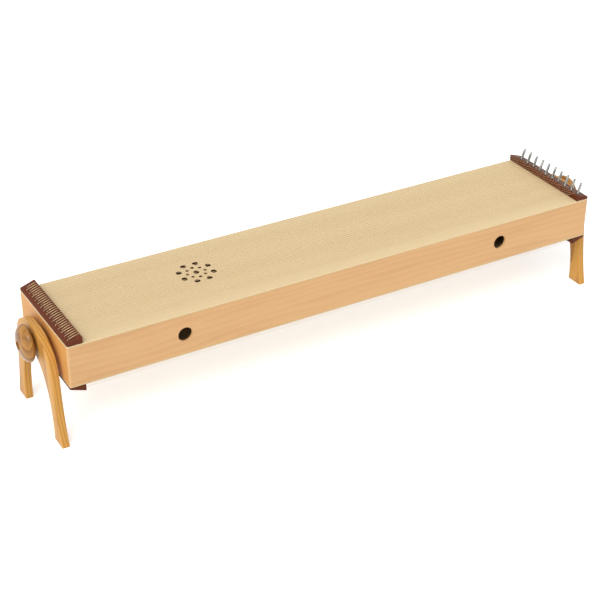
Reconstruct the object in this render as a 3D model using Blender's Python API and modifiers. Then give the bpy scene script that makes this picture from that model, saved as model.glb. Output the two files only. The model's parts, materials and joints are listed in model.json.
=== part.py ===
# A long flat monochord with strings on both faces, hung between two arched stands so that it can be turned over.
# Metres, +Z up. X runs along the strings, the origin is on the floor under the middle of the box.

import math

import bmesh
import bpy
from mathutils import Matrix, Vector

# Soundbox
box_length = 1.220
box_width = 0.241
box_height = 0.091
pivot_height = 0.1795        # floor to the line that the box turns about
board_thickness = 0.003      # both soundboards
side_thickness = 0.005
end_block_length = 0.045
corner_radius = 0.004        # upright corners of the box
board_edge_radius = 0.001
joint_gap = 0.0003           # between pieces that touch

# Sound openings
rosette_from_left = 0.330
rosette_offset = 0.0115      # towards the rear
rosette_centre_radius = 0.006
rosette_large_radius = 0.006
rosette_small_radius = 0.0035
rosette_large_ring = 0.035
rosette_small_ring = 0.0195
rosette_ring_count = 8
side_hole_radius = 0.015
side_hole_from_left = 0.2395
side_hole_from_right = 0.2355

# Braces inside the box
brace_thickness = 0.008
brace_count = 4
brace_first_from_end = 0.150
brace_border = 0.013         # wood left round the openings of a brace

# Rails across the ends, high side inward
rail_length = 0.032
rail_ridge_height = 0.0143
rail_lip_height = 0.0037
rail_edge_radius = 0.0008

# Strings
string_count = 30
string_margin = 0.0132       # long edge of the box to the outer strings
string_radius = 0.00025
hitch_row_from_lip = (0.0080, 0.0125)
hitch_depth = 0.0010         # how far a string's end goes into the rail
hitch_run = 0.0015           # length over which it drops there

# Tuning pins
pin_radius = 0.0025
pin_length = 0.046
pin_standing = 0.022         # above the rail, on top
pin_standing_under = 0.012   # above the rail, on the underside
pin_row_count = 3
pin_first_row_from_ridge = 0.0085
pin_row_pitch = 0.0075
pin_head_length = 0.010
pin_head_half_width = 0.0020
pin_head_taper = 0.90
pin_head_corner = 0.28       # taken off its corners, as a share of the half width
pin_winding_start = 0.0010   # above the rail
pin_winding_length = 0.0024
pin_sides = 8
pin_sides_under = 6
pin_hole_sides = 6
pin_twist = math.radians(37)  # each pin is left at a different turn

# Stands
stand_thickness = 0.0155
stand_gap = 0.009            # end of the box to the stand
foot_outer = 0.1151          # from the middle to the outside of a foot
foot_inner = 0.076
crown_rise = 0.0369          # above the pivot
arch_drop = 0.025            # top of the arch, below the pivot
stand_edge = 0.0012
stand_crown_reach = 0.0235   # reach of the curve's handles at the crown
stand_shoulder = (0.0650, 0.0169)
stand_shoulder_fall = math.radians(34)
stand_shoulder_reach = (0.0354, 0.0480)
stand_outer_knee = (0.0819, 0.0634)
stand_inner_reach = 0.0182
stand_inner_knee = (0.0805, 0.0465)
stand_curve_steps = 12

# Pivots and knobs
bolt_radius = 0.005
bolt_in_block = 0.030
bolt_in_recess = 0.002       # how far the bolt shows past the bush, in the knob's recess
bush_wall = 0.003
block_bush_length = 0.026
knob_bush_length = 0.014
spacer_radius = 0.021
washer_radius = 0.015
washer_thickness = 0.0018
knob_radius = 0.0380
knob_face_bulge = 0.0177     # from its widest circle outward
knob_back_bulge = 0.0112
knob_back_flat = 0.0096      # from its widest circle to its flat back
knob_recess_radius = 0.0085
knob_recess_depth = 0.009
knob_edge = 0.001
knob_steps = 24
knob_profile_steps = 9
round_steps = 16

# Worked out from the sizes above
half_length = box_length / 2
half_width = box_width / 2
half_height = box_height / 2
rail_slope = math.atan2(rail_ridge_height - rail_lip_height, rail_length)
ridge_x = half_length - rail_length
string_pitch = (box_width - 2 * string_margin) / (string_count - 1)
inner_half_height = half_height - board_thickness - joint_gap
inner_half_width = half_width - side_thickness - joint_gap
string_lift = string_radius + joint_gap
winding_radius = pin_radius + 2 * string_radius
string_end_before_pin = math.sqrt((winding_radius + joint_gap) ** 2 - pin_radius ** 2)
stand_middle = half_length + stand_gap + stand_thickness / 2
stand_outer_face = half_length + stand_gap + stand_thickness
knob_back = stand_outer_face + washer_thickness + 2 * joint_gap
knob_middle = knob_back + knob_back_flat
knob_face_angle = math.acos((knob_recess_radius + knob_edge) / knob_radius)
knob_face = knob_face_bulge * math.sin(knob_face_angle)
bush_radius = bolt_radius + joint_gap + bush_wall


for old in list(bpy.data.objects):
    bpy.data.objects.remove(old, do_unlink=True)

parts = bpy.data.collections.new("monochord")
cutters = bpy.data.collections.new("cutters")
bpy.context.scene.collection.children.link(parts)
bpy.context.scene.collection.children.link(cutters)


def make_material(name, colour, roughness, metallic=0.0):
    material = bpy.data.materials.new(name)
    material.use_nodes = True
    shader = material.node_tree.nodes["Principled BSDF"]
    shader.inputs["Base Color"].default_value = (*colour, 1.0)
    shader.inputs["Roughness"].default_value = roughness
    shader.inputs["Metallic"].default_value = metallic
    material.diffuse_color = (*colour, 1.0)
    return material


spruce = make_material("spruce", (0.76, 0.58, 0.36), 0.45)
side_wood = make_material("side_wood", (0.72, 0.44, 0.21), 0.45)
rail_wood = make_material("rail_wood", (0.16, 0.060, 0.028), 0.40)
stand_wood = make_material("stand_wood", (0.66, 0.35, 0.09), 0.45)
knob_wood = make_material("knob_wood", (0.38, 0.20, 0.075), 0.35)
pin_steel = make_material("pin_steel", (0.45, 0.45, 0.44), 0.30, 1.0)
bolt_steel = make_material("bolt_steel", (0.30, 0.30, 0.30), 0.35, 1.0)
bush_brass = make_material("bush_brass", (0.62, 0.45, 0.18), 0.35, 1.0)
washer_black = make_material("washer_black", (0.03, 0.03, 0.03), 0.60)


def add_object(name, mesh, material=None, parent=None):
    """Puts a mesh in the scene: with a material as a part, without one as a cutter."""
    piece = bpy.data.objects.new(name, mesh)
    if material is None:
        cutters.objects.link(piece)
        piece.hide_render = True
        piece.display_type = "WIRE"
    else:
        parts.objects.link(piece)
        if not mesh.materials:
            mesh.materials.append(material)
    piece.parent = parent
    return piece


def mesh_from(shape, name):
    bmesh.ops.recalc_face_normals(shape, faces=shape.faces)
    mesh = bpy.data.meshes.new(name)
    shape.to_mesh(mesh)
    shape.free()
    return mesh


def add_empty(name, location):
    empty = bpy.data.objects.new(name, None)
    empty.location = location
    parts.objects.link(empty)
    return empty


def boolean(piece, other, operation):
    modifier = piece.modifiers.new(other.name, "BOOLEAN")
    modifier.operation = operation
    modifier.solver = "EXACT"
    modifier.object = other


def block_shape(length, width, height):
    """A box centred on the origin."""
    shape = bmesh.new()
    bmesh.ops.create_cube(shape, size=1.0)
    bmesh.ops.scale(shape, vec=(length, width, height), verts=shape.verts)
    return shape


def is_upright(edge):
    first, second = (vert.co for vert in edge.verts)
    return (first - second).xy.length < 1e-6


def round_edges(shape, radius, segments, chosen):
    edges = [edge for edge in shape.edges if chosen(edge)]
    bmesh.ops.bevel(shape, geom=edges, offset=radius, segments=segments, profile=0.5, affect="EDGES")


def drill(shape, radius, length, matrix, sides):
    """Adds a cylinder whose flats, not its corners, lie on the radius."""
    corner = radius / math.cos(math.pi / sides)
    bmesh.ops.create_cone(
        shape, cap_ends=True, segments=sides, radius1=corner, radius2=corner, depth=length, matrix=matrix
    )


def turned_mesh(name, profile, steps):
    """Turns a closed profile of (radius, height) points, which runs down its outer side, about Z."""
    mesh = bpy.data.meshes.new(name)
    points = [(radius, 0.0, height) for radius, height in profile]
    edges = [(i, (i + 1) % len(points)) for i in range(len(points))]
    mesh.from_pydata(points, edges, [])
    guide = bpy.data.objects.new(name, mesh)
    parts.objects.link(guide)
    screw = guide.modifiers.new("turn", "SCREW")
    screw.angle = math.tau
    screw.steps = steps
    screw.render_steps = steps
    screw.use_merge_vertices = True
    screw.merge_threshold = 0.00001
    bpy.context.view_layer.update()
    turned = bpy.data.meshes.new_from_object(guide.evaluated_get(bpy.context.evaluated_depsgraph_get()))
    bpy.data.objects.remove(guide)
    turned.name = name
    turned.shade_smooth()
    turned.set_sharp_from_angle(angle=math.radians(35))
    return turned


def tube_mesh(name, inner, outer, length, steps):
    profile = [(outer, length / 2), (outer, -length / 2), (inner, -length / 2), (inner, length / 2)]
    return turned_mesh(name, profile, steps)


def mesh_of_curve(curve, name):
    """The closed mesh of a curve, its caps welded to its sides."""
    guide = bpy.data.objects.new(name, curve)
    parts.objects.link(guide)
    bpy.context.view_layer.update()
    mesh = bpy.data.meshes.new_from_object(guide.evaluated_get(bpy.context.evaluated_depsgraph_get()))
    bpy.data.objects.remove(guide)
    shape = bmesh.new()
    shape.from_mesh(mesh)
    bmesh.ops.remove_doubles(shape, verts=shape.verts, dist=0.00001)
    return mesh_from(shape, name)


# The soundbox: everything on it is placed from the middle of the box.
soundbox = add_empty("soundbox", (0.0, 0.0, pivot_height))


def rosette_cutter():
    """One hole in the middle, a ring of small holes and a ring of large ones half a step round from them."""
    shape = bmesh.new()
    centre = Vector((rosette_from_left - half_length, rosette_offset, half_height))
    depth = 4 * board_thickness
    drill(shape, rosette_centre_radius, depth, Matrix.Translation(centre), 12)
    step = math.tau / rosette_ring_count
    rings = ((rosette_small_ring, rosette_small_radius, 0.0, 8), (rosette_large_ring, rosette_large_radius, 0.5, 12))
    for ring, radius, shift, sides in rings:
        for i in range(rosette_ring_count):
            angle = (i + shift) * step
            place = centre + Vector((ring * math.cos(angle), ring * math.sin(angle), 0.0))
            drill(shape, radius, depth, Matrix.Translation(place), sides)
    return add_object("rosette_cutter", mesh_from(shape, "rosette_cutter"), parent=soundbox)


def add_soundboard(name, face):
    """face is 1 for the top and -1 for the underside, whose rounded edge looks down."""
    shape = block_shape(box_length, box_width, board_thickness)
    round_edges(shape, corner_radius, 3, is_upright)
    top = board_thickness / 2 - 1e-6
    round_edges(shape, board_edge_radius, 1, lambda edge: all(vert.co.z > top for vert in edge.verts))
    board = add_object(name, mesh_from(shape, name), spruce, soundbox)
    board.location.z = face * (half_height - board_thickness / 2)
    board.rotation_euler.x = 0.0 if face > 0 else math.pi
    return board


def side_hole_cutter():
    shape = bmesh.new()
    for x in (side_hole_from_left - half_length, half_length - side_hole_from_right):
        place = Matrix.Translation((x, -half_width, 0.0)) @ Matrix.Rotation(math.pi / 2, 4, "X")
        drill(shape, side_hole_radius, 4 * side_thickness, place, 24)
    return add_object("side_hole_cutter", mesh_from(shape, "side_hole_cutter"), parent=soundbox)


def add_side(name, side):
    """side is -1 at the front and 1 at the rear. Only the outer corners are rounded."""
    shape = block_shape(box_length, side_thickness, 2 * inner_half_height)
    round_edges(shape, corner_radius, 3, lambda edge: is_upright(edge) and edge.verts[0].co.y * side > 0)
    board = add_object(name, mesh_from(shape, name), side_wood, soundbox)
    board.location.y = side * (half_width - side_thickness / 2)
    return board


def add_end_block(name, end):
    shape = block_shape(end_block_length, 2 * inner_half_width, 2 * inner_half_height)
    block = add_object(name, mesh_from(shape, name), side_wood, soundbox)
    block.location.x = end * (half_length - end_block_length / 2)
    return block


def pivot_bore():
    """The holes in both end blocks that the bushes sit in."""
    shape = bmesh.new()
    depth = bolt_in_block + joint_gap
    for end in (-1, 1):
        place = Matrix.Translation((end * half_length, 0.0, 0.0)) @ Matrix.Rotation(math.pi / 2, 4, "Y")
        drill(shape, bush_radius + joint_gap, 2 * depth, place, round_steps)
    return add_object("pivot_bore", mesh_from(shape, "pivot_bore"), parent=soundbox)


def add_braces():
    """Cross frames between the soundboards, each with two openings for the air."""
    height = 2 * inner_half_height
    width = 2 * inner_half_width - 2 * joint_gap
    opening_height = height - 2 * brace_border
    opening_width = (width - 3 * brace_border) / 2
    first = half_length - brace_first_from_end
    for i in range(brace_count):
        shape = block_shape(brace_thickness, width, height)
        brace = add_object(f"brace_{i + 1}", mesh_from(shape, "brace"), spruce, soundbox)
        brace.location.x = -first + 2 * first * i / (brace_count - 1)
        cutter_shape = bmesh.new()
        for side in (-1, 1):
            middle = side * (opening_width + brace_border) / 2
            opening = bmesh.ops.create_cube(cutter_shape, size=1.0)["verts"]
            bmesh.ops.scale(cutter_shape, vec=(4 * brace_thickness, opening_width, opening_height), verts=opening)
            bmesh.ops.translate(cutter_shape, vec=(0.0, middle, 0.0), verts=opening)
        round_edges(
            cutter_shape,
            opening_height / 4,
            3,
            lambda edge: abs((edge.verts[0].co - edge.verts[1].co).x) > brace_thickness,
        )
        openings = add_object(f"brace_openings_{i + 1}", mesh_from(cutter_shape, "brace_openings"), parent=soundbox)
        openings.location.x = brace.location.x
        boolean(brace, openings, "DIFFERENCE")


def rail_mesh(name, end):
    """A wedge on the soundboard: a block whose outer top edge is lowered to the lip."""
    shape = block_shape(rail_length, box_width, rail_ridge_height)
    bmesh.ops.translate(
        shape,
        vec=(end * (half_length - rail_length / 2), 0.0, half_height + joint_gap + rail_ridge_height / 2),
        verts=shape.verts,
    )
    outer = [vert for vert in shape.verts if abs(vert.co.x) > ridge_x + rail_length / 2]
    for vert in outer:
        if vert.co.z > half_height + rail_lip_height:
            vert.co.z = half_height + joint_gap + rail_lip_height
    outer_upright = [edge for edge in shape.edges if all(vert in outer for vert in edge.verts) and is_upright(edge)]
    bmesh.ops.bevel(
        shape, geom=outer_upright, offset=corner_radius, segments=3, profile=0.5, affect="EDGES"
    )
    low = half_height + joint_gap + 1e-5
    round_edges(shape, rail_edge_radius, 1, lambda edge: all(vert.co.z > low for vert in edge.verts))
    return mesh_from(shape, name)


def slope_point(from_ridge, above):
    """A point over the rail's slope at the right end, as x and z."""
    x = ridge_x + from_ridge
    z = half_height + joint_gap + rail_ridge_height - from_ridge * math.tan(rail_slope)
    return x + above * math.sin(rail_slope), z + above * math.cos(rail_slope)


def string_y(i):
    return (i - (string_count - 1) / 2) * string_pitch


def pin_row(i):
    """The nearest string of each three has its pin in the row by the ridge, the furthest by the lip."""
    return pin_first_row_from_ridge + pin_row_pitch * (i % pin_row_count)


def pin_place(i):
    """Where pin i meets the slope: its string passes its rear side, half a string outside the shank."""
    x, z = slope_point(pin_row(i), 0.0)
    return Vector((x, string_y(i) - pin_radius - string_radius, z))


def strings_mesh():
    """Each string: in the hitch rail, up its slope, over both ridges and down to the windings on its pin."""
    curve = bpy.data.curves.new("strings", "CURVE")
    curve.dimensions = "3D"
    curve.bevel_depth = string_radius
    curve.bevel_resolution = 0
    curve.use_fill_caps = True
    ridge = half_height + joint_gap + rail_ridge_height + string_lift
    for i in range(string_count):
        y = string_y(i)
        hitch = rail_length - hitch_row_from_lip[i % len(hitch_row_from_lip)]
        buried_x, buried_z = slope_point(hitch, -hitch_depth)
        free_x, free_z = slope_point(hitch - hitch_run, string_lift)
        pin_x, pin_z = slope_point(pin_row(i) - string_end_before_pin, pin_winding_start + string_radius)
        route = [
            (-buried_x, y, buried_z),
            (-free_x, y, free_z),
            (-ridge_x, y, ridge),
            (ridge_x, y, ridge),
            (pin_x, y, pin_z),
        ]
        spline = curve.splines.new("POLY")
        spline.points.add(len(route) - 1)
        for point, place in zip(spline.points, route):
            point.co = (*place, 1.0)
    return mesh_of_curve(curve, "strings")


def ring(radius, height, sides=pin_sides):
    """Points on a circle round the pin."""
    angles = [(k + 0.5) * math.tau / sides for k in range(sides)]
    return [(radius * math.cos(angle), radius * math.sin(angle), height) for angle in angles]


def square_ring(half_width, height):
    """Eight points on a square with its corners taken off."""
    near_corner = (1.0 - pin_head_corner) * half_width
    points = []
    for x, y, z in ring(1.0, height):
        long, short = (half_width, near_corner) if abs(x) > abs(y) else (near_corner, half_width)
        points.append((math.copysign(long, x), math.copysign(short, y), z))
    return points


def loft(shape, rings, matrix=Matrix.Identity(4)):
    """Skins a stack of rings with the same count of points, and caps both ends."""
    rows = [[shape.verts.new(matrix @ Vector(point)) for point in points] for points in rings]
    for lower, upper in zip(rows, rows[1:]):
        for k in range(len(lower)):
            after = (k + 1) % len(lower)
            shape.faces.new((lower[k], lower[after], upper[after], upper[k]))
    shape.faces.new(rows[0][::-1])
    shape.faces.new(rows[-1])


def tuning_pin_rings():
    """A round shank with the string's windings near the wood, and a tapered square head."""
    shank_top = pin_standing - pin_head_length
    winding_top = pin_winding_start + pin_winding_length
    return [
        ring(pin_radius, pin_standing - pin_length),
        ring(pin_radius, pin_winding_start - string_radius),
        ring(winding_radius, pin_winding_start),
        ring(winding_radius, winding_top),
        ring(pin_radius, winding_top + string_radius),
        ring(pin_radius, shank_top),
        square_ring(pin_head_half_width, shank_top + pin_radius / 2),
        square_ring(pin_head_half_width * pin_head_taper, pin_standing),
    ]


def underside_pin_rings():
    """A shorter pin whose windings lie against the wood, from inside the rail to its tapered head."""
    winding_top = pin_winding_start + pin_winding_length
    return [
        ring(winding_radius, -rail_lip_height / 2, pin_sides_under),
        ring(winding_radius, winding_top, pin_sides_under),
        ring(pin_radius, winding_top + string_radius, pin_sides_under),
        ring(pin_radius, pin_standing_under - pin_head_length / 2, pin_sides_under),
        ring(pin_head_half_width, pin_standing_under, pin_sides_under),
    ]


def pin_matrix(i):
    tilt = Matrix.Rotation(rail_slope, 4, "Y") @ Matrix.Rotation(pin_twist * i, 4, "Z")
    return Matrix.Translation(pin_place(i)) @ tilt


def pin_drill():
    """The holes for the pins of one face, through rail and soundboard into the end block."""
    shape = bmesh.new()
    below = pin_length - pin_standing + joint_gap
    above = 2 * rail_edge_radius + pin_winding_start
    for i in range(string_count):
        x, z = slope_point(pin_row(i), (above - below) / 2)
        place = Matrix.Translation((x, pin_place(i).y, z)) @ Matrix.Rotation(rail_slope, 4, "Y")
        drill(shape, pin_radius + joint_gap, above + below, place, pin_hole_sides)
    return add_object("pin_drill", mesh_from(shape, "pin_drill"), parent=soundbox)


def add_tuning_pins():
    shape = bmesh.new()
    loft(shape, tuning_pin_rings())
    mesh = mesh_from(shape, "tuning_pin")
    for i in range(string_count):
        pin = add_object(f"tuning_pin_{i + 1:02d}", mesh, pin_steel, soundbox)
        pin.matrix_local = pin_matrix(i)


def underside_pins():
    """The lower-standing pins of the underside, joined to their rail, so only what stands above it is made."""
    shape = bmesh.new()
    for i in range(string_count):
        loft(shape, underside_pin_rings(), pin_matrix(i))
    guide = add_object("underside_pins", mesh_from(shape, "underside_pins"), parent=soundbox)
    guide.rotation_euler.x = math.pi
    return guide


def add_rails(strings, face_name, turned_over):
    hitch_rail = add_object(f"{face_name}_hitch_rail", rail_mesh("hitch_rail", -1), rail_wood, soundbox)
    pin_rail = add_object(f"{face_name}_pin_rail", rail_mesh("pin_rail", 1), rail_wood, soundbox)
    guide = add_object(f"{face_name}_strings", strings, parent=soundbox)
    for piece in (hitch_rail, pin_rail, guide):
        piece.rotation_euler.x = turned_over
    boolean(hitch_rail, guide, "UNION")
    return pin_rail


def build_soundbox():
    top = add_soundboard("soundboard_top", 1)
    add_soundboard("soundboard_underside", -1)
    front = add_side("front_side", -1)
    add_side("rear_side", 1)
    left_block = add_end_block("left_end_block", -1)
    right_block = add_end_block("right_end_block", 1)
    add_braces()
    boolean(top, rosette_cutter(), "DIFFERENCE")
    boolean(front, side_hole_cutter(), "DIFFERENCE")
    bore = pivot_bore()
    boolean(left_block, bore, "DIFFERENCE")
    boolean(right_block, bore, "DIFFERENCE")
    strings = strings_mesh()
    top_pin_rail = add_rails(strings, "top", 0.0)
    underside_pin_rail = add_rails(strings, "underside", math.pi)
    boolean(underside_pin_rail, underside_pins(), "UNION")
    holes = pin_drill()
    for piece in (top_pin_rail, top, right_block):
        boolean(piece, holes, "DIFFERENCE")
    add_tuning_pins()


def stand_mesh():
    """A wishbone: an outer and an inner arch that end at two feet, seen along the box."""
    curve = bpy.data.curves.new("stand", "CURVE")
    curve.dimensions = "2D"
    curve.fill_mode = "BOTH"
    curve.extrude = stand_thickness / 2 - stand_edge
    curve.bevel_depth = stand_edge
    curve.bevel_resolution = 0
    curve.offset = -stand_edge
    curve.resolution_u = stand_curve_steps
    curve.render_resolution_u = stand_curve_steps
    outer_knee, inner_knee = Vector(stand_outer_knee), Vector(stand_inner_knee)
    floor = -pivot_height
    shoulder = Vector(stand_shoulder)
    fall = Vector((math.cos(stand_shoulder_fall), -math.sin(stand_shoulder_fall)))
    above, below = shoulder - fall * stand_shoulder_reach[0], shoulder + fall * stand_shoulder_reach[1]
    # Each point of the outline: its place, the handle before it and the handle after it.
    outline = [
        ((foot_outer, floor), None, (outer_knee.x, -outer_knee.y)),
        (shoulder, below, above),
        ((0.0, crown_rise), (stand_crown_reach, crown_rise), (-stand_crown_reach, crown_rise)),
        ((-shoulder.x, shoulder.y), (-above.x, above.y), (-below.x, below.y)),
        ((-foot_outer, floor), (-outer_knee.x, -outer_knee.y), None),
        ((-foot_inner, floor), None, (-inner_knee.x, -inner_knee.y)),
        ((0.0, -arch_drop), (-stand_inner_reach, -arch_drop), (stand_inner_reach, -arch_drop)),
        ((foot_inner, floor), (inner_knee.x, -inner_knee.y), None),
    ]
    spline = curve.splines.new("BEZIER")
    spline.bezier_points.add(len(outline) - 1)
    spline.use_cyclic_u = True
    for point, (place, before, after) in zip(spline.bezier_points, outline):
        point.co = (*place, 0.0)
        point.handle_left_type = "VECTOR" if before is None else "FREE"
        point.handle_right_type = "VECTOR" if after is None else "FREE"
        if before is not None:
            point.handle_left = (*before, 0.0)
        if after is not None:
            point.handle_right = (*after, 0.0)
    return mesh_of_curve(curve, "stand")


def knob_mesh():
    """A pebble-shaped knob turned about Z, its face up, with a recess in the face and a bore for the bush."""
    bore = bush_radius + joint_gap
    recess_floor = knob_face - knob_recess_depth
    back_angle = -math.asin(knob_back_flat / knob_back_bulge)
    profile = [(knob_recess_radius, knob_face - knob_edge)]
    for k in range(knob_profile_steps + 1):
        angle = knob_face_angle + (back_angle - knob_face_angle) * k / knob_profile_steps
        bulge = knob_face_bulge if angle > 0.0 else knob_back_bulge
        profile.append((knob_radius * math.cos(angle), bulge * math.sin(angle)))
    profile += [(bore, -knob_back_flat), (bore, recess_floor), (knob_recess_radius, recess_floor)]
    return turned_mesh("knob", profile, knob_steps)


def build_end(name, end, stand, knob, meshes):
    """The stand, its pivot bolt and its knob at one end: end is -1 on the left and 1 on the right."""
    bolt_bush, knob_bush, spacer, washer = meshes
    outward = end * math.pi / 2
    recess_floor = knob_middle + knob_face - knob_recess_depth

    def place(piece, x):
        piece.location = (end * x, 0.0, pivot_height)
        piece.rotation_euler = (0.0, outward, 0.0)

    leg = add_object(f"{name}_stand", stand, stand_wood)
    leg.location = (end * stand_middle, 0.0, pivot_height)
    leg.rotation_euler = (math.pi / 2, 0.0, math.pi / 2)
    hole_shape = bmesh.new()
    drill(hole_shape, bolt_radius + joint_gap, 4 * stand_thickness, Matrix.Identity(4), round_steps)
    hole = add_object(f"{name}_stand_hole", mesh_from(hole_shape, "stand_hole"))
    place(hole, stand_middle)
    boolean(leg, hole, "DIFFERENCE")

    bolt_end = recess_floor + bolt_in_recess
    bolt_start = half_length - bolt_in_block + joint_gap
    bolt_shape = bmesh.new()
    drill(bolt_shape, bolt_radius * math.cos(math.pi / round_steps), bolt_end - bolt_start, Matrix.Identity(4), round_steps)
    place(add_object(f"{name}_pivot_bolt", mesh_from(bolt_shape, "pivot_bolt"), bolt_steel), (bolt_start + bolt_end) / 2)

    place(add_object(f"{name}_block_bush", bolt_bush, bush_brass), half_length - joint_gap - block_bush_length / 2)
    place(add_object(f"{name}_spacer", spacer, washer_black), half_length + stand_gap / 2)
    washer_x = stand_outer_face + joint_gap + washer_thickness / 2
    place(add_object(f"{name}_knob_washer", washer, washer_black), washer_x)
    place(add_object(f"{name}_knob", knob, knob_wood), knob_middle)
    place(add_object(f"{name}_knob_bush", knob_bush, bush_brass), recess_floor - joint_gap - knob_bush_length / 2)


def build_ends():
    bore = (bolt_radius + joint_gap) / math.cos(math.pi / round_steps)
    meshes = (
        tube_mesh("block_bush", bore, bush_radius, block_bush_length, round_steps),
        tube_mesh("knob_bush", bore, bush_radius, knob_bush_length, round_steps),
        tube_mesh("spacer", bore, spacer_radius, stand_gap - 2 * joint_gap, round_steps),
        tube_mesh("knob_washer", bore, washer_radius, washer_thickness, round_steps),
    )
    stand, knob = stand_mesh(), knob_mesh()
    for name, end in (("left", -1), ("right", 1)):
        build_end(name, end, stand, knob, meshes)


build_soundbox()
build_ends()
bpy.context.view_layer.update()
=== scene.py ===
import json
import math

import bpy
import numpy as np
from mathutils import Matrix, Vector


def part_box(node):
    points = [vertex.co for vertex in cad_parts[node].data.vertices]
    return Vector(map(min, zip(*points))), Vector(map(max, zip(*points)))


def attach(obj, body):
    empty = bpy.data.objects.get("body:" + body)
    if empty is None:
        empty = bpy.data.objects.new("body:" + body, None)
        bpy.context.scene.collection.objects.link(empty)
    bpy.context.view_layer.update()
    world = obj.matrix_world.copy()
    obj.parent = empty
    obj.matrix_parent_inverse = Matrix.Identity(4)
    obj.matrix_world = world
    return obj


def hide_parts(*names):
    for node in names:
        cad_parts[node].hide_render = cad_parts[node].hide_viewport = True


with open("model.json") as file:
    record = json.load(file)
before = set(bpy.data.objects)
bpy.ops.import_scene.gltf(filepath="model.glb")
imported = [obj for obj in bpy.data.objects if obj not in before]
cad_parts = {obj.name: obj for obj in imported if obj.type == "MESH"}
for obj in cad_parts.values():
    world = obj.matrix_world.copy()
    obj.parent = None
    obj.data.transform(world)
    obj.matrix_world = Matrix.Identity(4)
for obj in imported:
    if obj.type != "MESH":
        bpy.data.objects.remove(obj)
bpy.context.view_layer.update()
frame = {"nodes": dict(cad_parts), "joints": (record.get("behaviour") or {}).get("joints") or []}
print("frame loaded:", len(frame["nodes"]), "nodes")


# Places that the frame gives
pinRailLow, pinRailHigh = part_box("top_pin_rail")
joints = {joint["name"]: joint for joint in frame["joints"]}
pivotHeight = joints["left_stand_turn"]["pos_m"][2]
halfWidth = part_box("soundboard_top")[1].y
endX = pinRailHigh.x  # where the box ends
ridgeX = pinRailLow.x
railFoot = pinRailLow.z  # where a rail sits on the soundboard
ridgeZ = pinRailHigh.z


def grid(rows, columns, closeRows=False, closeColumns=False):
    # quads between neighbours of a grid of points, rows first
    row = np.arange(rows if closeRows else rows - 1)[:, None]
    column = np.arange(columns if closeColumns else columns - 1)[None, :]
    nextRow = (row + 1) % rows
    nextColumn = (column + 1) % columns
    corners = (row * columns + column, row * columns + nextColumn,
               nextRow * columns + nextColumn, nextRow * columns + column)
    return np.stack(np.broadcast_arrays(*corners), -1).reshape(-1, 4)


def ringSkin(rows, sides, copies=1):
    # quads round a stack of rings and a cap at both its ends, for copies whose points follow each other
    firstPoint = (np.arange(copies) * rows * sides)[:, None]
    faces = (grid(rows, sides, closeColumns=True)[None] + firstPoint[..., None]).reshape(-1, 4)
    firstRing = firstPoint + np.arange(sides)
    return faces, list(firstRing[:, ::-1]) + list(firstRing + (rows - 1) * sides)


def addPiece(name, points, faces, material, body, caps=(), sharp=35):
    # points is an array of places, faces one of quads, and caps are rings of point numbers that
    # close an end; edges that bend by more than sharp degrees stay sharp
    mesh = bpy.data.meshes.new(name)
    polygons = faces.tolist() + [list(map(int, cap)) for cap in caps]
    mesh.from_pydata(points.reshape(-1, 3).tolist(), [], polygons)
    mesh.validate()
    mesh.materials.append(material)
    mesh.shade_smooth()
    mesh.set_sharp_from_angle(angle=math.radians(sharp))
    piece = bpy.data.objects.new(name, mesh)
    bpy.context.scene.collection.objects.link(piece)
    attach(piece, body)
    return piece


def turnOver(points):
    # half a turn about the pivot line, for what sits under the box
    return points * (1, -1, -1) + (0, 0, 2 * pivotHeight)


def unit(vectors):
    return vectors / np.linalg.norm(vectors, axis=-1, keepdims=True)


def paint(red, green, blue):
    # colours are written as they look on a screen, 0 to 255, and the usual screen curve is undone
    screen = np.array((red, green, blue)) / 255
    linear = np.where(screen <= 0.04045, screen / 12.92, ((screen + 0.055) / 1.055) ** 2.4)
    return (*map(float, linear), 1.0)


def newMaterial(name):
    material = bpy.data.materials.new(name)
    material.use_nodes = True
    tree = material.node_tree
    return material, tree, tree.nodes["Principled BSDF"]


def addNode(tree, kind, settings=None, **inputs):
    # an input goes by its label, or by an underscore and its number
    node = tree.nodes.new(kind)
    for key, value in (settings or {}).items():
        setattr(node, key, value)
    for key, value in inputs.items():
        socket = node.inputs[int(key[1:])] if key[0] == "_" else node.inputs[key]
        if isinstance(value, bpy.types.NodeSocket):
            tree.links.new(value, socket)
        else:
            socket.default_value = value
    return node


def maths(tree, operation, first, second=0.0, clamp=False):
    settings = {"operation": operation, "use_clamp": clamp}
    return addNode(tree, "ShaderNodeMath", settings, _0=first, _1=second).outputs[0]


def vectorMaths(tree, operation, first, second=(0.0, 0.0, 0.0)):
    return addNode(tree, "ShaderNodeVectorMath", {"operation": operation}, _0=first, _1=second)


def blendColours(tree, factor, first, second):
    node = addNode(tree, "ShaderNodeMix", {"data_type": "RGBA"}, _0=factor, _6=first, _7=second)
    return node.outputs[2]


def stretchedNoise(tree, place, stretch, detail=3.0, roughness=0.55):
    # noise whose grains are 1 / stretch long along each axis
    scaled = addNode(tree, "ShaderNodeMapping", {"vector_type": "POINT"}, Vector=place, Scale=stretch)
    noise = addNode(tree, "ShaderNodeTexNoise", None, Vector=scaled.outputs[0], Scale=1.0,
                    Detail=detail, Roughness=roughness)
    return noise.outputs[0]


wood = {
    "waverDetail": 2.0, "patchDetail": 2.0, "patchMiddle": 0.5, "poreDetail": 4.0, "poreRoughness": 0.7,
    "poreTo": 0.85, "ringHeight": 0.5, "bumpDepth": 0.0004, "wallUpward": 0.5,
}


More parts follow.
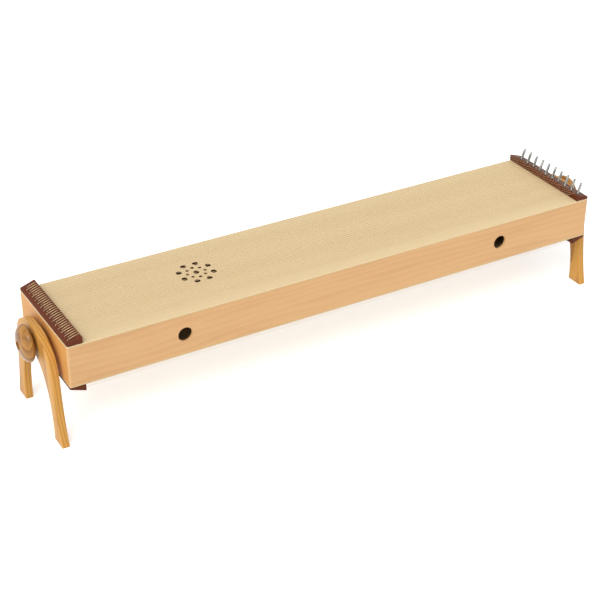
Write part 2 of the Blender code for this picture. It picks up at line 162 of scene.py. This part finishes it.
def woodFinish(name, look):
    # growth rings round a heart line, fine pores along the grain and slow patches
    material, tree, shader = newMaterial(name)
    place = addNode(tree, "ShaderNodeTexCoord").outputs["Object"]
    shift = tuple(-middle * scale for middle, scale in zip(look["heart"], look["squash"]))
    heart = addNode(tree, "ShaderNodeMapping", {"vector_type": "POINT"}, Vector=place, Location=shift,
                    Scale=look["squash"])
    distance = vectorMaths(tree, "LENGTH", heart.outputs[0]).outputs["Value"]
    waver = stretchedNoise(tree, place, look["waverStretch"], wood["waverDetail"])
    phase = maths(tree, "ADD", maths(tree, "DIVIDE", distance, look["spacing"]),
                  maths(tree, "MULTIPLY", waver, look["waver"]))
    line = maths(tree, "POWER", maths(tree, "FRACT", phase), look["sharpness"])
    pores = stretchedNoise(tree, place, look["poreStretch"], wood["poreDetail"], wood["poreRoughness"])
    dots = addNode(tree, "ShaderNodeMapRange", None, Value=pores, _1=look["poreFrom"],
                   _2=wood["poreTo"]).outputs[0]
    patches = stretchedNoise(tree, place, look["patchStretch"], wood["patchDetail"])
    amount = maths(tree, "MULTIPLY", line, look["lineStrength"])
    amount = maths(tree, "ADD", amount, maths(tree, "MULTIPLY", dots, look["poreStrength"]))
    patch = maths(tree, "SUBTRACT", patches, wood["patchMiddle"])
    patch = maths(tree, "MULTIPLY", patch, look["patchStrength"])
    amount = maths(tree, "ADD", amount, patch, clamp=True)
    colour = blendColours(tree, amount, paint(*look["light"]), paint(*look["dark"]))
    if "drilled" in look:
        # painted shade: the walls of the holes inside a circle, which face sideways, get a dark colour that
        # stands in for the shade inside the holes
        x, y, radius = look["drilled"]
        offset = vectorMaths(tree, "SUBTRACT", place, (x, y, 0.0)).outputs[0]
        flat = vectorMaths(tree, "MULTIPLY", offset, (1.0, 1.0, 0.0)).outputs[0]
        away = vectorMaths(tree, "LENGTH", flat).outputs["Value"]
        facing = addNode(tree, "ShaderNodeTexCoord").outputs["Normal"]
        upward = addNode(tree, "ShaderNodeSeparateXYZ", None, _0=facing).outputs[2]
        # a mask of the sideways walls inside the circle, where the painted shade goes
        wall = maths(tree, "LESS_THAN", maths(tree, "ABSOLUTE", upward), wood["wallUpward"])
        wall = maths(tree, "MULTIPLY", wall, maths(tree, "LESS_THAN", away, radius))
        colour = blendColours(tree, wall, colour, paint(*look["wall"]))
    tree.links.new(colour, shader.inputs["Base Color"])
    gloss = addNode(tree, "ShaderNodeMapRange", None, Value=pores, _3=look["gloss"][0], _4=look["gloss"][1])
    tree.links.new(gloss.outputs[0], shader.inputs["Roughness"])
    height = maths(tree, "ADD", maths(tree, "MULTIPLY", line, wood["ringHeight"]), dots)
    bump = addNode(tree, "ShaderNodeBump", {"invert": True}, Height=height, Strength=look["bump"],
                   Distance=wood["bumpDepth"])
    tree.links.new(bump.outputs[0], shader.inputs["Normal"])
    shader.inputs["Specular IOR Level"].default_value = look["shine"]
    return material


spruceLook = {
    "light": (228, 204, 160), "dark": (180, 140, 92),
    "heart": (0.0, -1.5, 0.4), "squash": (0.004, 1.0, 1.0), "spacing": 0.0019,
    "waver": 1.6, "waverStretch": (1.2, 14.0, 14.0), "sharpness": 2.4, "lineStrength": 0.20,
    "poreStretch": (26.0, 1300.0, 1300.0), "poreFrom": 0.56, "poreStrength": 0.30,
    "patchStretch": (1.6, 22.0, 22.0), "patchStrength": 0.34,
    "gloss": (0.42, 0.56), "bump": 0.05, "shine": 0.22,
    "drilled": (-0.280, 0.0115, 0.05),  # the rosette's middle in x and y, and a radius round it
    # the painted shade's colour on the walls of the rosette's holes, which are spruce
    "wall": (52, 34, 18),
}
sideLook = {
    "light": (224, 178, 126), "dark": (170, 108, 60),
    "heart": (0.3, 0.3, 0.02), "squash": (0.03, 1.0, 1.0), "spacing": 0.0050,
    "waver": 3.4, "waverStretch": (2.6, 14.0, 14.0), "sharpness": 2.0, "lineStrength": 0.14,
    "poreStretch": (50.0, 1500.0, 1500.0), "poreFrom": 0.52, "poreStrength": 0.26,
    "patchStretch": (5.0, 20.0, 34.0), "patchStrength": 0.46,
    "gloss": (0.40, 0.54), "bump": 0.05, "shine": 0.25,
}
endLook = dict(sideLook, light=(220, 160, 88), dark=(168, 98, 40), heart=(0.0, 0.2, -0.15),
               squash=(1.0, 0.05, 1.0), poreStretch=(900.0, 140.0, 1500.0))
railLook = {
    "light": (114, 56, 32), "dark": (30, 11, 6),
    "heart": (0.9, 0.0, 0.1), "squash": (1.0, 0.02, 1.0), "spacing": 0.0042,
    "waver": 1.8, "waverStretch": (40.0, 3.0, 40.0), "sharpness": 1.6, "lineStrength": 0.55,
    "poreStretch": (2200.0, 130.0, 2200.0), "poreFrom": 0.46, "poreStrength": 0.60,
    "patchStretch": (30.0, 9.0, 30.0), "patchStrength": 0.7,
    "gloss": (0.40, 0.56), "bump": 0.12, "shine": 0.12,
}
standLook = {
    "light": (212, 157, 76), "dark": (146, 82, 24),
    "heart": (0.0, 0.02, 0.5), "squash": (1.0, 1.0, 0.10), "spacing": 0.0062,
    "waver": 1.3, "waverStretch": (25.0, 25.0, 5.0), "sharpness": 2.6, "lineStrength": 0.62,
    "poreStretch": (1500.0, 1500.0, 70.0), "poreFrom": 0.50, "poreStrength": 0.24,
    "patchStretch": (12.0, 12.0, 6.0), "patchStrength": 0.40,
    "gloss": (0.36, 0.50), "bump": 0.10, "shine": 0.28,
}
knobLook = {
    "light": (182, 128, 62), "dark": (72, 36, 12),
    "heart": (0.0, 0.03, 0.13), "squash": (0.35, 1.0, 1.0), "spacing": 0.0050,
    "waver": 2.4, "waverStretch": (30.0, 36.0, 36.0), "sharpness": 1.7, "lineStrength": 0.60,
    "poreStretch": (260.0, 1100.0, 1100.0), "poreFrom": 0.46, "poreStrength": 0.42,
    "patchStretch": (30.0, 34.0, 34.0), "patchStrength": 1.1,
    "gloss": (0.18, 0.32), "bump": 0.10, "shine": 0.30,
}


def metalFinish(name, look):
    # a drawn metal with faint scratches along one axis
    material, tree, shader = newMaterial(name)
    place = addNode(tree, "ShaderNodeTexCoord").outputs["Object"]
    scratches = stretchedNoise(tree, place, look["scratch"])
    colour = blendColours(tree, scratches, paint(*look["dark"]), paint(*look["light"]))
    tree.links.new(colour, shader.inputs["Base Color"])
    gloss = addNode(tree, "ShaderNodeMapRange", None, Value=scratches, _3=look["gloss"][0],
                    _4=look["gloss"][1])
    tree.links.new(gloss.outputs[0], shader.inputs["Roughness"])
    shader.inputs["Metallic"].default_value = 1.0
    return material


pinLook = {
    "light": (196, 196, 190), "dark": (76, 76, 74), "scratch": (900.0, 900.0, 260.0), "gloss": (0.14, 0.32),
}
stringLook = {
    "light": (234, 208, 166), "dark": (198, 166, 124), "scratch": (300.0, 2000.0, 2000.0),
    "gloss": (0.22, 0.34),
}
boltLook = {
    "light": (150, 150, 148), "dark": (96, 96, 96), "scratch": (300.0, 1400.0, 1400.0),
    "gloss": (0.30, 0.45),
}
brassLook = {
    "light": (214, 176, 104), "dark": (160, 122, 60), "scratch": (300.0, 1400.0, 1400.0),
    "gloss": (0.26, 0.42),
}
rubberLook = {
    "light": (52, 49, 47), "dark": (30, 28, 27), "grain": (1500.0, 1500.0, 1500.0), "gloss": (0.5, 0.8),
}


def rubberFinish(name, look):
    material, tree, shader = newMaterial(name)
    place = addNode(tree, "ShaderNodeTexCoord").outputs["Object"]
    grains = stretchedNoise(tree, place, look["grain"])
    colour = blendColours(tree, grains, paint(*look["dark"]), paint(*look["light"]))
    tree.links.new(colour, shader.inputs["Base Color"])
    gloss = addNode(tree, "ShaderNodeMapRange", None, Value=grains, _3=look["gloss"][0],
                    _4=look["gloss"][1])
    tree.links.new(gloss.outputs[0], shader.inputs["Roughness"])
    return material


spruce = woodFinish("spruce", spruceLook)
sideWood = woodFinish("sideWood", sideLook)
endWood = woodFinish("endWood", endLook)
walnut = woodFinish("walnut", railLook)
standWood = woodFinish("standWood", standLook)
knobWood = woodFinish("knobWood", knobLook)
pinSteel = metalFinish("pinSteel", pinLook)
stringSteel = metalFinish("stringSteel", stringLook)
boltSteel = metalFinish("boltSteel", boltLook)
bushBrass = metalFinish("bushBrass", brassLook)
rubber = rubberFinish("rubber", rubberLook)
print("finishes made")


# The boards, braces, end blocks, washers, bushes and bolts keep the frame's shapes
nodeFinishes = (("soundboard", spruce), ("brace", spruce), ("_side", sideWood), ("end_block", endWood),
                ("spacer", rubber), ("knob_washer", rubber), ("bolt", boltSteel), ("bush", bushBrass))
for nodeName, nodeObject in frame["nodes"].items():
    finish = next((material for word, material in nodeFinishes if word in nodeName), None)
    if finish:
        nodeObject.data.materials.clear()
        nodeObject.data.materials.append(finish)


# Rails
rail = {
    "lip": 0.0037, "edge": 0.0010, "corner": 0.004, "arcPoints": 6, "edgePoints": 9, "cornerPoints": 6,
    "spanPoints": 9,
}
railSlope = math.atan2(ridgeZ - railFoot - rail["lip"], endX - ridgeX)


def roundedOutline(corners, radius, arcPoints):
    # each corner becomes an arc that touches both of its sides: middle + radius * direction, where
    # the direction goes evenly from one side's to the other's
    corners = np.array(corners, float)
    before = unit(np.roll(corners, 1, 0) - corners)
    after = unit(np.roll(corners, -1, 0) - corners)
    half = np.arccos(np.clip((before * after).sum(1), -1, 1)) / 2
    middle = corners + unit(before + after) * (radius / np.sin(half))[:, None]
    first = corners + before * (radius / np.tan(half))[:, None] - middle
    last = corners + after * (radius / np.tan(half))[:, None] - middle
    share = np.linspace(0, 1, arcPoints)[None, :, None]
    arc = unit(first[:, None] * (1 - share) + last[:, None] * share) * radius
    return (middle[:, None] + arc).reshape(-1, 2)


def makeRail(name, end, node, under=False):
    # The wedge's outline in x and z is carried across the box. Towards each end it shrinks about its
    # middle by edge * (1 - sine) where edge * (1 - cosine) is left to go, so it ends in a quarter
    # circle. It also comes in, in proportion to the distance from the ridge, by corner less the
    # square root of (corner squared less the square of how far it is past the corner's start).
    outline = roundedOutline(
        ((ridgeX, railFoot), (endX, railFoot), (endX, railFoot + rail["lip"]), (ridgeX, ridgeZ)),
        rail["edge"], rail["arcPoints"])
    cornerStart = halfWidth - rail["corner"]
    angle = np.linspace(0, math.pi / 2, rail["edgePoints"])
    drawIn = rail["edge"] * (1 - np.sin(angle))
    across = halfWidth - rail["edge"] * (1 - np.cos(angle))
    span = np.linspace(-1, 1, rail["spanPoints"])[1:-1] * cornerStart
    bend = np.linspace(cornerStart, halfWidth - rail["edge"], rail["cornerPoints"])
    ends = np.unique(np.round(np.concatenate([-across, span, across, -bend, bend]), 7))
    shrink = np.interp(np.abs(ends), across[::-1], drawIn[::-1])
    middle = outline.mean(0)
    reach = outline - middle
    size = np.abs(reach).max(0)
    rows = middle + reach[None] * (1 - shrink[:, None] / size)[:, None, :]
    over = np.clip(np.abs(ends) - cornerStart, 0, rail["corner"])
    comeIn = rail["corner"] - np.sqrt(rail["corner"] ** 2 - over ** 2 + 1e-12)
    share = (rows[..., 0] - ridgeX) / (endX - ridgeX)
    x = rows[..., 0] - share * comeIn[:, None]
    points = np.stack([x, np.broadcast_to(ends[:, None], x.shape), rows[..., 1]], -1)
    faces, caps = ringSkin(*x.shape)
    if end < 0:
        points = points * (-1, 1, 1)
    else:
        faces, caps = faces[:, ::-1], [cap[::-1] for cap in caps]
    if under:
        points = turnOver(points)
    piece = addPiece(name, points, faces, walnut, "soundbox", caps)
    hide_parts(node)


makeRail("topHitchRail", -1, "top_hitch_rail")
makeRail("topPinRail", 1, "top_pin_rail")
makeRail("underHitchRail", -1, "underside_hitch_rail", under=True)
makeRail("underPinRail", 1, "underside_pin_rail", under=True)
print("rails made")


# Strings
strings = {
    "count": 30, "pitch": 0.0074, "radius": 0.0003, "sides": 8, "ridgePoints": 5, "saddle": 0.0010,
    "hitchRows": (0.0080, 0.0125), "hitchHeight": 0.0009, "loopPoints": 20, "loopFall": 0.00004,
    "leaveBefore": 0.0005, "pinRows": (0.0085, 0.0160, 0.0235), "pinHeight": 0.00125, "pastPin": 0.0004,
    "offPath": (0.0, 0.30, 0.95),
}
stringTwist = {
    "radius": 0.0008, "above": 0.0002, "fromPin": 0.0016, "toRidge": 0.0035, "points": 5, "sides": 10,
    "endShare": 0.4, "offPath": (0.0, 1.0, 0.2),
}
hitchPin = {
    "radius": 0.0006, "standing": 0.0018, "sunk": 0.0015, "sides": 14, "neck": 0.0004, "headEdge": 0.0002,
    "headRadius": 0.0009, "headRise": 0.0004,
    "dome": ((0.8, 0.6), (0.4, 0.93), (0.05, 1.0)),  # shares of the head's radius and rise
}
stringY = (np.arange(strings["count"]) - (strings["count"] - 1) / 2) * strings["pitch"]
hitchRow = (endX - ridgeX) - np.resize(strings["hitchRows"], strings["count"])  # from the ridge
pinRow = np.resize(strings["pinRows"], strings["count"])
onSlope = np.array((math.cos(railSlope), -math.sin(railSlope)))  # down the right rail, as x and z
offSlope = np.array((math.sin(railSlope), math.cos(railSlope)))  # square to it


def overSlope(fromRidge, above):
    # x and z of places over the right rail's slope, from distances along x and square to the slope
    along = np.asarray(fromRidge, float)[..., None] / math.cos(railSlope)
    return np.array((ridgeX, ridgeZ)) + along * onSlope + np.asarray(above, float)[..., None] * offSlope


def acrossBox(flat, y, end=1):
    # places in the round from their x and z over the right half and their y; end -1 is the left half
    return np.stack([end * flat[..., 0], np.broadcast_to(y, flat.shape[:-1]), flat[..., 1]], -1)


def tube(points, radius, sides, offPath):
    # A circle carried along each path: point + radius * (cosine * side + sine * up), both square to
    # the path. The direction offPath is one that the paths never follow.
    along = unit(np.gradient(points, axis=-2))
    side = unit(np.cross(np.broadcast_to(offPath, along.shape), along))
    up = np.cross(along, side)
    angle = np.arange(sides) * math.tau / sides
    ring = np.cos(angle)[:, None] * side[..., None, :] + np.sin(angle)[:, None] * up[..., None, :]
    return points[..., None, :] + radius * ring


def stringPaths():
    # From a turn round the hitch pin, which falls by loopFall a radian, up the slope, over both
    # ridges and down to the tuning pin. Over a ridge x grows by saddle * sine of the bend that is
    # left, and z falls by saddle * (1 - cosine) of it.
    count, radius, saddle = strings["count"], strings["radius"], strings["saddle"]
    loopRadius = hitchPin["radius"] + radius
    turn = np.linspace(-1.5 * math.pi, 0.5 * math.pi, strings["loopPoints"])[:-1]
    loopAlong = hitchRow[:, None] + loopRadius * np.cos(turn) * math.cos(railSlope)
    loopAcross = stringY[:, None] - loopRadius + loopRadius * np.sin(turn)
    loopHeight = strings["hitchHeight"] - strings["loopFall"] * turn
    loop = acrossBox(overSlope(loopAlong, loopHeight), loopAcross, -1)
    leave = overSlope((hitchRow - strings["leaveBefore"])[:, None], strings["hitchHeight"])
    leave = acrossBox(leave, stringY[:, None], -1)
    bend = np.linspace(railSlope, 0, strings["ridgePoints"])
    ridge = np.stack([ridgeX + saddle * (np.sin(bend) - math.tan(railSlope / 2)),
                      ridgeZ + radius - saddle * (1 - np.cos(bend))], -1)
    leftRidge = acrossBox(np.broadcast_to(ridge, (count, *ridge.shape)), stringY[:, None], -1)
    rightRidge = leftRidge[:, ::-1] * (-1, 1, 1)
    arrive = overSlope((pinRow + strings["pastPin"])[:, None], strings["pinHeight"])
    arrive = acrossBox(arrive, stringY[:, None])
    return np.concatenate([loop, leave, leftRidge, rightRidge, arrive], 1)


def makeStrings(name, node, under=False):
    points = tube(stringPaths(), strings["radius"], strings["sides"], strings["offPath"])
    faces, caps = ringSkin(*points.shape[1:3], strings["count"])
    if under:
        points = turnOver(points)
    piece = addPiece(name, points, faces, stringSteel, "soundbox", caps, sharp=80)
    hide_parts(node)


def makeTwists(name, under=False):
    # the thicker part of each string, where its loop's end is twisted back round it: a straight tube
    # along the slope, drawn in at both ends
    start = hitchRow[:, None] - stringTwist["fromPin"]
    along = start + (stringTwist["toRidge"] - start) * np.linspace(0, 1, stringTwist["points"])
    paths = overSlope(along, stringTwist["radius"] + stringTwist["above"])
    paths = acrossBox(paths, stringY[:, None], -1)
    points = tube(paths, stringTwist["radius"], stringTwist["sides"], stringTwist["offPath"])
    middles = paths[:, [0, -1], None]
    points[:, [0, -1]] = middles + (points[:, [0, -1]] - middles) * stringTwist["endShare"]
    faces, caps = ringSkin(*points.shape[1:3], strings["count"])
    if under:
        points = turnOver(points)
    addPiece(name, points, faces, stringSteel, "soundbox", caps)


makeStrings("topStrings", "top_hitch_rail")
makeStrings("underStrings", "underside_hitch_rail", under=True)
makeTwists("topTwists")
makeTwists("underTwists", under=True)


def turned(profile, sides):
    # a profile of radius and height turned about z: x is radius * cosine and y is radius * sine
    profile = np.array(profile, float)
    angle = np.arange(sides) * math.tau / sides
    ring = np.stack([np.cos(angle), np.sin(angle)], -1)
    flat = profile[:, None, :1] * ring[None]
    return np.concatenate([flat, np.broadcast_to(profile[:, None, 1:], flat.shape[:2] + (1,))], -1)


def placedOn(points, places, axes, twists):
    # The same local shape at several places: place + x * first + y * second + z * axis. First and
    # second are square to the axis, and turned about it by each twist.
    axes = unit(np.asarray(axes, float))
    side = unit(np.cross((0.0, 1.0, 0.0), axes))
    back = np.cross(axes, side)
    cosine, sine = np.cos(twists)[:, None], np.sin(twists)[:, None]
    first = side * cosine + back * sine
    second = back * cosine - side * sine
    basis = np.stack([first, second, axes], 1)
    return np.einsum("ijk,nkl->nijl", points, basis) + np.asarray(places)[:, None, None]


def makeHitchPins(name, under=False):
    radius, head, top = hitchPin["radius"], hitchPin["headRadius"], hitchPin["standing"]
    profile = [(radius, -hitchPin["sunk"]), (radius, top - hitchPin["neck"]),
               (head, top - hitchPin["headEdge"]), (head, top)]
    profile += [(head * out, top + hitchPin["headRise"] * rise) for out, rise in hitchPin["dome"]]
    foot = overSlope(hitchRow, 0.0)
    places = acrossBox(foot, stringY - radius - strings["radius"], -1)
    axes = np.broadcast_to((-offSlope[0], 0.0, offSlope[1]), places.shape)
    points = placedOn(turned(profile, hitchPin["sides"]), places, axes, np.zeros(strings["count"]))
    faces, caps = ringSkin(*points.shape[1:3], strings["count"])
    if under:
        points = turnOver(points)
    addPiece(name, points, faces, pinSteel, "soundbox", caps)


makeHitchPins("topHitchPins")
makeHitchPins("underHitchPins", under=True)
print("strings made")


# Tuning pins
tuningPin = {
    "radius": 0.0025, "standing": 0.022, "standingUnder": 0.012, "sunk": 0.003, "sides": 32,
    "headLength": 0.010, "headHalf": 0.0022, "taper": 0.90, "squareness": 9.0, "twist": math.radians(37),
    "neck": 0.0006, "neckShare": 0.99, "neckPower": 2.2, "shoulder": 0.0012,
    "tipDrops": (0.0006, 0.0002, 0.0), "tipShares": (1.01, 0.90, 0.70),
    "turns": 4, "coilStep": 0.00055, "coilSides": 6, "coilPoints": 18, "coilEnd": 0.4,
    "offPath": (0.02, 0.01, 1.0),
}


def pinShape(standing, headLength):
    # A round shank that becomes a tapered square head. At each height the section is the curve
    # |x|^power + |y|^power = half^power, a circle at power 2 and nearly a square at a high power.
    radius, shoulder, square = tuningPin["radius"], tuningPin["headHalf"], tuningPin["squareness"]
    tip = shoulder * tuningPin["taper"]
    neck = standing - headLength
    rows = [(-tuningPin["sunk"], radius, 2.0), (0.0, radius, 2.0), (neck - tuningPin["neck"], radius, 2.0),
            (neck, radius * tuningPin["neckShare"], tuningPin["neckPower"]),
            (neck + tuningPin["shoulder"], shoulder, square),
            (standing - headLength * 0.5, (shoulder + tip) / 2, square)]
    rows += [(standing - drop, tip * share, square)
             for drop, share in zip(tuningPin["tipDrops"], tuningPin["tipShares"])]
    height, half, power = np.array(rows).T[..., None]
    angle = (np.arange(tuningPin["sides"]) + 0.5) * math.tau / tuningPin["sides"]
    cosine, sine = np.cos(angle), np.sin(angle)
    flat = half * (np.abs(cosine) ** power + np.abs(sine) ** power) ** (-1 / power)
    return np.stack([flat * cosine, flat * sine, np.broadcast_to(height, flat.shape)], -1)


def coilShape(pinTurn=0.0):
    # The string wound up the shank, and its end in the shank: radius * cosine, radius * sine and a
    # height that grows by coilStep a turn. It starts at the string however far the pin is turned.
    steps = tuningPin["coilPoints"] * tuningPin["turns"]
    turn = np.linspace(0, math.tau * tuningPin["turns"], steps + 1)
    angle = math.pi / 2 - pinTurn - turn
    radius = tuningPin["radius"] + strings["radius"]
    height = strings["pinHeight"] + tuningPin["coilStep"] * turn / math.tau
    path = np.stack([radius * np.cos(angle), radius * np.sin(angle), height], -1)
    inward = path[-1:] * (tuningPin["coilEnd"], tuningPin["coilEnd"], 1.0)
    path = np.concatenate([path, inward])
    return tube(path, strings["radius"], tuningPin["coilSides"], tuningPin["offPath"])


def makeTuningPins():
    shape = pinShape(tuningPin["standing"], tuningPin["headLength"])
    for i in range(strings["count"]):
        body = f"tuning_pin_{i + 1:02d}"
        joint = joints[body + "_turn"]
        place, axis = np.array([joint["pos_m"]]), np.array([joint["axis"]])
        turns = np.array([tuningPin["twist"] * i])
        coil = coilShape(float(turns[0]))
        points = [placedOn(local, place, axis, turns).reshape(-1, 3) for local in (shape, coil)]
        faces, caps = ringSkin(*shape.shape[:2])
        coilFaces, coilCaps = ringSkin(*coil.shape[:2])
        faces = np.concatenate([faces, coilFaces + len(points[0])])
        caps += [cap + len(points[0]) for cap in coilCaps]
        piece = addPiece(f"tuningPin{i + 1:02d}", np.concatenate(points), faces, pinSteel, body,
                         caps)
        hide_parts(body)


def makeUnderPins():
    shape = pinShape(tuningPin["standingUnder"], tuningPin["headLength"] / 2)
    foot = overSlope(pinRow, 0.0)
    places = acrossBox(foot, stringY - tuningPin["radius"] - strings["radius"])
    axes = np.broadcast_to((offSlope[0], 0.0, offSlope[1]), places.shape)
    turns = tuningPin["twist"] * np.arange(strings["count"])
    groups = ((shape, turns, pinSteel, "underPins", "pin_steel"),
              (coilShape(), np.zeros(strings["count"]), stringSteel, "underCoils", "string_steel"))
    for local, turnedBy, material, name, slot in groups:
        points = turnOver(placedOn(local, places, axes, turnedBy))
        faces, caps = ringSkin(*local.shape[:2], strings["count"])
        addPiece(name, points, faces, material, "soundbox", caps)


makeTuningPins()
makeUnderPins()
print("tuning pins made")


# Stands
stand = {
    # corner points of cubic curves for half of the arch, y and height from the pivot
    "crown": ((0.0, 0.0369), (0.0235, 0.0369), (0.0357, 0.0367), (0.0650, 0.0169)),
    "leg": ((0.0650, 0.0169), (0.1048, -0.0099), (0.0819, -0.0634), (0.1151, -0.1795)),
    "inner": ((0.0, -0.0250), (0.0182, -0.0250), (0.0805, -0.0465), (0.076, -0.1795)),
    "steps": 48, "arris": 0.0014, "arcPoints": 4, "sole": 0.0008,
}


def bezier(corners, share):
    # points of a cubic curve: its four corner points, weighed by the powers of share and 1 - share
    corners = np.array(corners, float)
    share = share[:, None]
    rest = 1 - share
    return (corners[0] * rest ** 3 + 3 * corners[1] * rest ** 2 * share
            + 3 * corners[2] * rest * share ** 2 + corners[3] * share ** 3)


def makeStand(name, node):
    # A rectangle with rounded corners is carried round the arch. At each step its width is the
    # distance between the outer and the inner curve, along the line that joins them. Both ends are
    # cut level, and the soles are a little smaller than the section above them.
    low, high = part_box(node)
    middleX, halfThick = (low.x + high.x) / 2, (high.x - low.x) / 2
    share = np.linspace(0, 1, stand["steps"] + 1)
    half = np.linspace(0, 1, stand["steps"] // 2 + 1)
    outer = np.concatenate([bezier(stand["crown"], half)[:-1], bezier(stand["leg"], half)])
    inner = bezier(stand["inner"], share)
    mirror = np.array((-1.0, 1.0))
    outer = np.concatenate([outer[::-1] * mirror, outer[1:]])
    inner = np.concatenate([inner[::-1] * mirror, inner[1:]])
    centre, across = (outer + inner) / 2, (outer - inner) / 2
    reach = np.linalg.norm(across, axis=1)
    corners = np.array(((-1.0, -1.0), (1.0, -1.0), (1.0, 1.0), (-1.0, 1.0)))
    side = np.repeat(corners, stand["arcPoints"], 0)
    arc = roundedOutline(2 * corners, 1.0, stand["arcPoints"]) - side
    inset = np.array((reach, np.full(len(reach), halfThick))).T[:, None] - stand["arris"]
    section = side[None] * inset + arc * stand["arris"]
    yz = centre[:, None] + (across / reach[:, None])[:, None] * section[..., :1]
    points = np.stack([middleX + section[..., 1], yz[..., 0], pivotHeight + yz[..., 1]], -1)
    points[[0, -1], :, 2] = 0.0
    soleMiddle = points[[0, -1]].mean(1, keepdims=True)
    fromMiddle = points[[0, -1]] - soleMiddle
    size = np.abs(fromMiddle).max(1, keepdims=True).clip(stand["sole"])
    soles = soleMiddle + fromMiddle * (1 - stand["sole"] / size)
    points[[0, -1], :, 2] = stand["sole"]
    points = np.concatenate([soles[:1], points, soles[1:]])
    faces, caps = ringSkin(*points.shape[:2])
    piece = addPiece(name, points, faces, standWood, node, caps, sharp=50)
    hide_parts(node)


makeStand("leftArch", "left_stand")
makeStand("rightArch", "right_stand")
print("stands made")


# Knobs
knob = {
    "radius": 0.0380, "faceBulge": 0.0177, "backBulge": 0.0112, "backFlat": 0.0096, "recess": 0.0085,
    "depth": 0.009, "recessTaper": 0.0002, "lip": 0.0012, "lipPoints": 5, "bore": 0.0086, "steps": 40,
    "sides": 96,
}


def makeKnob(name, node, end):
    # A deep and a shallow half ellipse turned about the bolt, cut flat behind and hollowed in front.
    # The profile's radius is radius * cosine of an angle, and its height bulge * sine of it.
    low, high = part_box(node)
    faceAngle = math.acos((knob["recess"] + knob["lip"]) / knob["radius"])
    backAngle = -math.asin(knob["backFlat"] / knob["backBulge"])
    angle = np.linspace(faceAngle, backAngle, knob["steps"])
    bulge = np.where(angle > 0, knob["faceBulge"], knob["backBulge"])
    body = np.stack([knob["radius"] * np.cos(angle), bulge * np.sin(angle)], -1)
    face = knob["faceBulge"] * math.sin(faceAngle)
    lipAngle = np.linspace(math.pi, math.pi / 2, knob["lipPoints"])[:-1]
    lip = np.stack([knob["recess"] + knob["lip"] * (1 + np.cos(lipAngle)),
                    face - knob["lip"] + knob["lip"] * np.sin(lipAngle)], -1)
    floor = face - knob["depth"]
    inside = [(knob["bore"], -knob["backFlat"]), (knob["bore"], floor),
              (knob["recess"] - knob["recessTaper"], floor)]
    profile = np.concatenate([lip, body, inside])
    backX = low.x if end > 0 else -high.x
    local = turned(profile, knob["sides"])
    along = backX + knob["backFlat"] + local[..., 2]
    points = np.stack([end * along, end * local[..., 0], local[..., 1] + pivotHeight], -1)
    faces = grid(len(profile), knob["sides"], closeRows=True, closeColumns=True)
    piece = addPiece(name, points, faces, knobWood, node)
    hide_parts(node)


makeKnob("leftPebble", "left_knob", -1)
makeKnob("rightPebble", "right_knob", 1)
print("knobs made")


# Stage, light and camera
stage = {"size": 14.0, "floor": (238, 238, 237), "roughness": 0.9, "lift": 0.52}
lights = {
    "world": 0.62,
    "key": {"strength": 1.55, "angle": 0.55, "turn": (38, -14, -30)},
    "fill": {"strength": 0.55, "angle": 1.0, "turn": (62, 8, -75)},
}
view = {
    "lens": 87.8318, "sensor": 36, "clipStart": 0.05, "place": (-1.369555, -2.277577, 1.6816),
    "turn": (58.9695, -0.2861, -29.9627),
}


def seenRays(tree):
    # 1 for what the camera sees, straight, mirrored or through something, and 0 for the light that falls
    path = addNode(tree, "ShaderNodeLightPath")
    seen = maths(tree, "ADD", path.outputs["Is Camera Ray"], path.outputs["Is Glossy Ray"])
    return maths(tree, "ADD", seen, path.outputs["Is Transmission Ray"], clamp=True)


def makeFloor():
    half = stage["size"] / 2
    corners = [(-half, -half, 0), (half, -half, 0), (half, half, 0), (-half, half, 0)]
    mesh = bpy.data.meshes.new("studioFloor")
    mesh.from_pydata(corners, [], [(0, 1, 2, 3)])
    floor = bpy.data.objects.new("studioFloor", mesh)
    bpy.context.scene.collection.objects.link(floor)
    material, tree, shader = newMaterial("paleFloor")
    shader.inputs["Base Color"].default_value = paint(*stage["floor"])
    shader.inputs["Roughness"].default_value = stage["roughness"]
    shader.inputs["Specular IOR Level"].default_value = 0.0
    lift = maths(tree, "MULTIPLY", seenRays(tree), stage["lift"])
    glow = addNode(tree, "ShaderNodeEmission", None, Strength=lift)
    both = addNode(tree, "ShaderNodeAddShader", None, _0=shader.outputs[0], _1=glow.outputs[0])
    tree.links.new(both.outputs[0], tree.nodes["Material Output"].inputs["Surface"])
    mesh.materials.append(material)


def makeWorld():
    world = bpy.data.worlds.new("studio")
    world.use_nodes = True
    tree = world.node_tree
    strength = addNode(tree, "ShaderNodeMapRange", None, Value=seenRays(tree), _3=lights["world"], _4=1.0)
    tree.links.new(strength.outputs[0], tree.nodes["Background"].inputs["Strength"])
    tree.nodes["Background"].inputs["Color"].default_value = (1, 1, 1, 1)
    bpy.context.scene.world = world


def makeLight(name):
    look = lights[name]
    lamp = bpy.data.lights.new(name, "SUN")
    lamp.energy = look["strength"]
    lamp.angle = look["angle"]
    lampObject = bpy.data.objects.new(name, lamp)
    lampObject.rotation_euler = [math.radians(turn) for turn in look["turn"]]
    bpy.context.scene.collection.objects.link(lampObject)


def makeCamera():
    camera = bpy.data.cameras.new("camera")
    camera.lens = view["lens"]
    camera.sensor_width = view["sensor"]
    camera.clip_start = view["clipStart"]
    cameraObject = bpy.data.objects.new("camera", camera)
    cameraObject.location = view["place"]
    cameraObject.rotation_euler = [math.radians(turn) for turn in view["turn"]]
    bpy.context.scene.collection.objects.link(cameraObject)
    bpy.context.scene.camera = cameraObject


makeFloor()
makeWorld()
makeLight("key")
makeLight("fill")
makeCamera()
bpy.context.scene.view_settings.view_transform = "Standard"
print("stage, lights and camera made")

bpy.context.view_layer.update()
